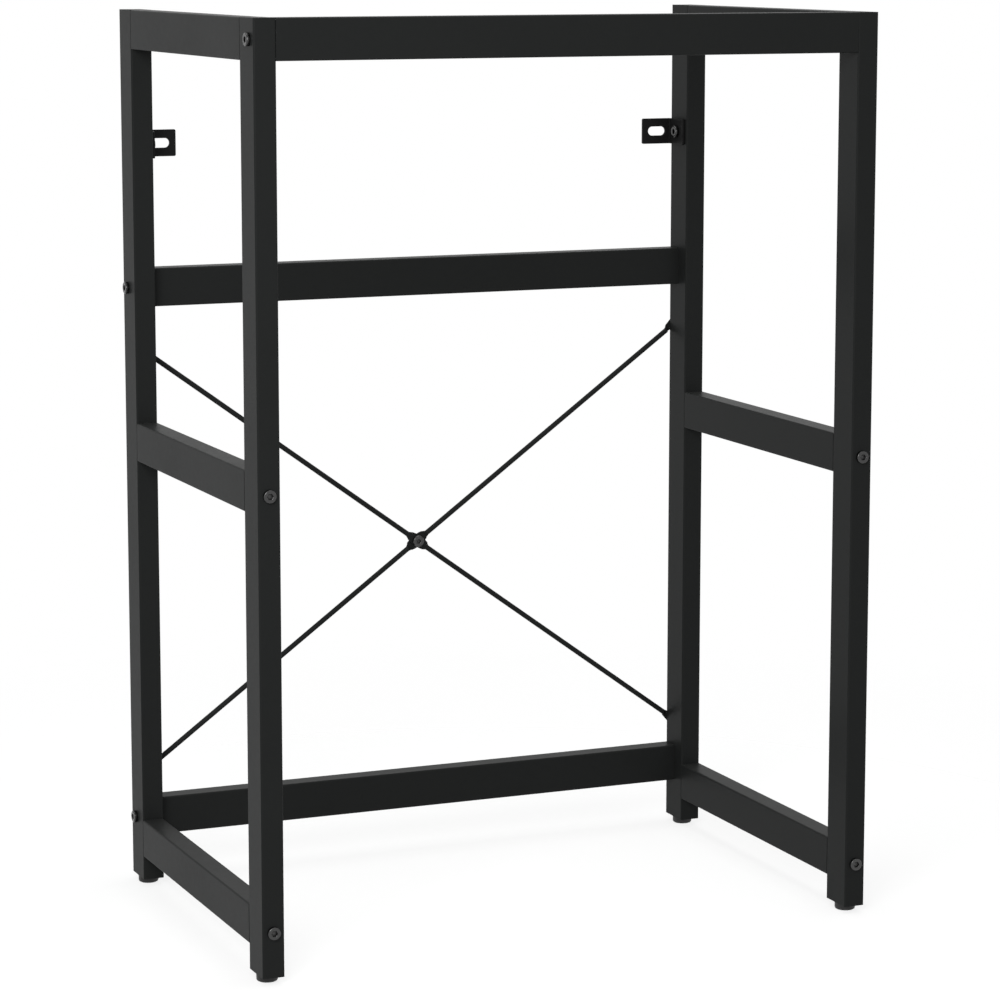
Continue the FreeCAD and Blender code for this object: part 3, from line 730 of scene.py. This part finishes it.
class STAND_OT_build_foot_pads(bpy.types.Operator):
    """Build the four moulded foot pads"""

    bl_idname = "stand.build_foot_pads"
    bl_label = "Build Foot Pads"

    def execute(self, context):
        sizes = context.scene.stand_foot
        fillet = sizes.pad_bottom_round
        for foot in FEET:
            low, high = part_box(foot + "_pad")
            stem_low, stem_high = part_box(foot + "_stem")
            radius = (high.x - low.x) / 2
            top = high.z - low.z
            bore = (stem_high.x - stem_low.x) / 2 + sizes.pad_gap
            floor = stem_low.z - low.z
            lower_edge = reversed(quarter_round(radius, fillet, fillet))
            profile = [(0, 0)]
            profile += [(reach, fillet - height) for reach, height in lower_edge]
            profile += quarter_round(radius, top, sizes.pad_top_round)
            profile += [(bore, top), (bore, floor), (0, floor)]
            bm = bmesh.new()
            made = spin_profile(bm, profile, PAD_SEGMENTS)
            centre = middle_of(foot + "_pad")
            stand_on(bm, made, Vector((centre.x, centre.y, low.z)), Z_AXIS)
            finish_piece(foot + "_pad_detailed", bm, foot, foot + "_pad")
        return {"FINISHED"}


class STAND_OT_build_foot_stems(bpy.types.Operator):
    """Build the four threaded foot stems"""

    bl_idname = "stand.build_foot_stems"
    bl_label = "Build Foot Stems"

    def execute(self, context):
        sizes = context.scene.stand_foot
        for foot in FEET:
            low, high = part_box(foot + "_stem")
            bm = bmesh.new()
            made = add_threaded_rod(bm, (high.x - low.x) / 2, high.z - low.z,
                                    sizes.thread_pitch, sizes.thread_depth)
            centre = middle_of(foot + "_stem")
            stand_on(bm, made, Vector((centre.x, centre.y, low.z)), Z_AXIS)
            finish_piece(foot + "_stem_detailed", bm, foot, foot + "_stem")
        return {"FINISHED"}


def seen_by_rays(tree):
    """1 for rays that show the background: from the camera, a reflection or through glass."""
    path = tree.nodes.new("ShaderNodeLightPath").outputs
    seen = calculate(tree, "MAXIMUM", path["Is Camera Ray"], path["Is Glossy Ray"])
    return calculate(tree, "MAXIMUM", seen, path["Is Transmission Ray"])


def make_floor_material(stage):
    """A pale, faintly clouded floor. Near the stand the camera and reflections see a veil of its
    shading, so the floor keeps the stand's shadow. Lit floor, and all that lies further off, is
    plain white to them."""
    material = bpy.data.materials.new("studio_floor")
    material.use_nodes = True
    tree = material.node_tree
    tree.nodes.clear()
    place = object_place(tree)
    cloud = noise(tree, place, FLOOR_CLOUD_SCALE, 4.0)
    cloud = calculate(tree, "MULTIPLY", cloud, stage.floor_clouds)
    tint = mix_colors(tree, cloud, (*stage.floor_color, 1), WHITE)
    seen = seen_by_rays(tree)
    tint = mix_colors(tree, seen, tint, (*stage.seen_color, 1))
    plain = tree.nodes.new("ShaderNodeBsdfDiffuse")
    tree.links.new(tint, plain.inputs["Color"])
    reach = tree.nodes.new("ShaderNodeVectorMath")
    reach.operation = "LENGTH"
    tree.links.new(place, reach.inputs[0])
    away = calculate(tree, "DIVIDE", reach.outputs["Value"], stage.shadow_reach)
    near = calculate(tree, "SUBTRACT", 2.0, away, clamp=True)
    veil = calculate(tree, "MULTIPLY", near, stage.floor_veil)
    mix = tree.nodes.new("ShaderNodeMixShader")
    clear = calculate(tree, "SUBTRACT", 1.0, veil)
    tree.links.new(calculate(tree, "MULTIPLY", seen, clear), mix.inputs[0])
    tree.links.new(plain.outputs[0], mix.inputs[1])
    tree.links.new(tree.nodes.new("ShaderNodeBsdfTransparent").outputs[0], mix.inputs[2])
    lift = tree.nodes.new("ShaderNodeEmission")
    missing = calculate(tree, "MULTIPLY", veil, 1 - stage.floor_level)
    tree.links.new(calculate(tree, "MULTIPLY", seen, missing), lift.inputs["Strength"])
    both = tree.nodes.new("ShaderNodeAddShader")
    tree.links.new(mix.outputs[0], both.inputs[0])
    tree.links.new(lift.outputs[0], both.inputs[1])
    output = tree.nodes.new("ShaderNodeOutputMaterial")
    tree.links.new(both.outputs[0], output.inputs["Surface"])
    return material


def light_world(scene, stage):
    """Even light for surfaces, and plain white where the camera or a reflection sees past them."""
    scene.world = scene.world or bpy.data.worlds.new("studio")
    scene.world.use_nodes = True
    tree = scene.world.node_tree
    lift = calculate(tree, "MULTIPLY", seen_by_rays(tree), 1 - stage.room_light)
    background = next(n for n in tree.nodes if n.type == "BACKGROUND")
    background.inputs["Color"].default_value = WHITE
    tree.links.new(calculate(tree, "ADD", lift, stage.room_light), background.inputs["Strength"])


def add_lamp(name, offset, target, size, watts):
    lamp = bpy.data.lights.new(name, "AREA")
    lamp.shape = "DISK"
    lamp.size = size
    lamp.energy = watts
    holder = bpy.data.objects.new(name, lamp)
    holder.location = target + offset
    holder.rotation_euler = (-offset).to_track_quat("-Z", "Y").to_euler()
    bpy.context.scene.collection.objects.link(holder)


class STAND_OT_build_stage(bpy.types.Operator):
    """Build the floor, the lights and the camera"""

    bl_idname = "stand.build_stage"
    bl_label = "Build Stage"

    def execute(self, context):
        scene = context.scene
        stage = scene.stand_stage
        low, high = CAD_BOX
        target = (low + high) / 2

        bm = bmesh.new()
        bmesh.ops.create_circle(bm, cap_ends=True, radius=stage.floor_size,
                                segments=FLOOR_SEGMENTS)
        mesh = bpy.data.meshes.new("floor")
        bm.to_mesh(mesh)
        bm.free()
        mesh.materials.append(make_floor_material(stage))
        floor = bpy.data.objects.new("floor", mesh)
        scene.collection.objects.link(floor)

        light_world(scene, stage)
        add_lamp("key_lamp", KEY_LAMP_OFFSET, target, KEY_LAMP_SIZE, stage.key_light)
        add_lamp("top_lamp", TOP_LAMP_OFFSET, target, TOP_LAMP_SIZE, stage.top_light)

        camera = bpy.data.cameras.new("camera")
        camera.lens = stage.lens
        camera.shift_x = stage.shift_x
        camera.shift_y = stage.shift_y
        holder = bpy.data.objects.new("camera", camera)
        flat = math.cos(stage.camera_elevation)
        back = Vector((math.sin(stage.camera_azimuth) * flat,
                       -math.cos(stage.camera_azimuth) * flat,
                       math.sin(stage.camera_elevation)))
        holder.location = target + back * stage.camera_distance
        holder.rotation_euler = (-back).to_track_quat("-Z", "Y").to_euler()
        scene.collection.objects.link(holder)
        scene.camera = holder
        scene.view_settings.view_transform = "Standard"
        return {"FINISHED"}


STEPS = (
    STAND_OT_coat_frame,
    STAND_OT_build_side_rail_bolts,
    STAND_OT_build_cross_rail_bolts,
    STAND_OT_build_bracket_bolts,
    STAND_OT_build_tie_rod_fasteners,
    STAND_OT_build_foot_pads,
    STAND_OT_build_foot_stems,
    STAND_OT_build_stage,
)


class STAND_PT_sidebar(bpy.types.Panel):
    """The steps that build the stand, in order, with their settings"""

    bl_idname = "STAND_PT_sidebar"
    bl_label = "Bathroom Stand"
    bl_space_type = "VIEW_3D"
    bl_region_type = "UI"
    bl_category = "Stand"

    def draw(self, context):
        layout = self.layout
        layout.use_property_split = True
        for step in STEPS:
            layout.operator(step.bl_idname)
        for name, group in SETTINGS.items():
            box = layout.box()
            settings = getattr(context.scene, name)
            for field in group.__annotations__:
                box.prop(settings, field)


CLASSES = (*SETTINGS.values(), *STEPS, STAND_PT_sidebar)


def register():
    for cls in CLASSES:
        bpy.utils.register_class(cls)
    for name, group in SETTINGS.items():
        setattr(bpy.types.Scene, name, PointerProperty(type=group))


def unregister():
    for name in SETTINGS:
        delattr(bpy.types.Scene, name)
    for cls in reversed(CLASSES):
        bpy.utils.unregister_class(cls)


def main():
    register()
    for step in STEPS:
        group, name = step.bl_idname.split(".")
        if getattr(getattr(bpy.ops, group), name)() != {"FINISHED"}:
            raise RuntimeError(step.bl_label + " didn't finish")


if __name__ == "__main__":
    main()
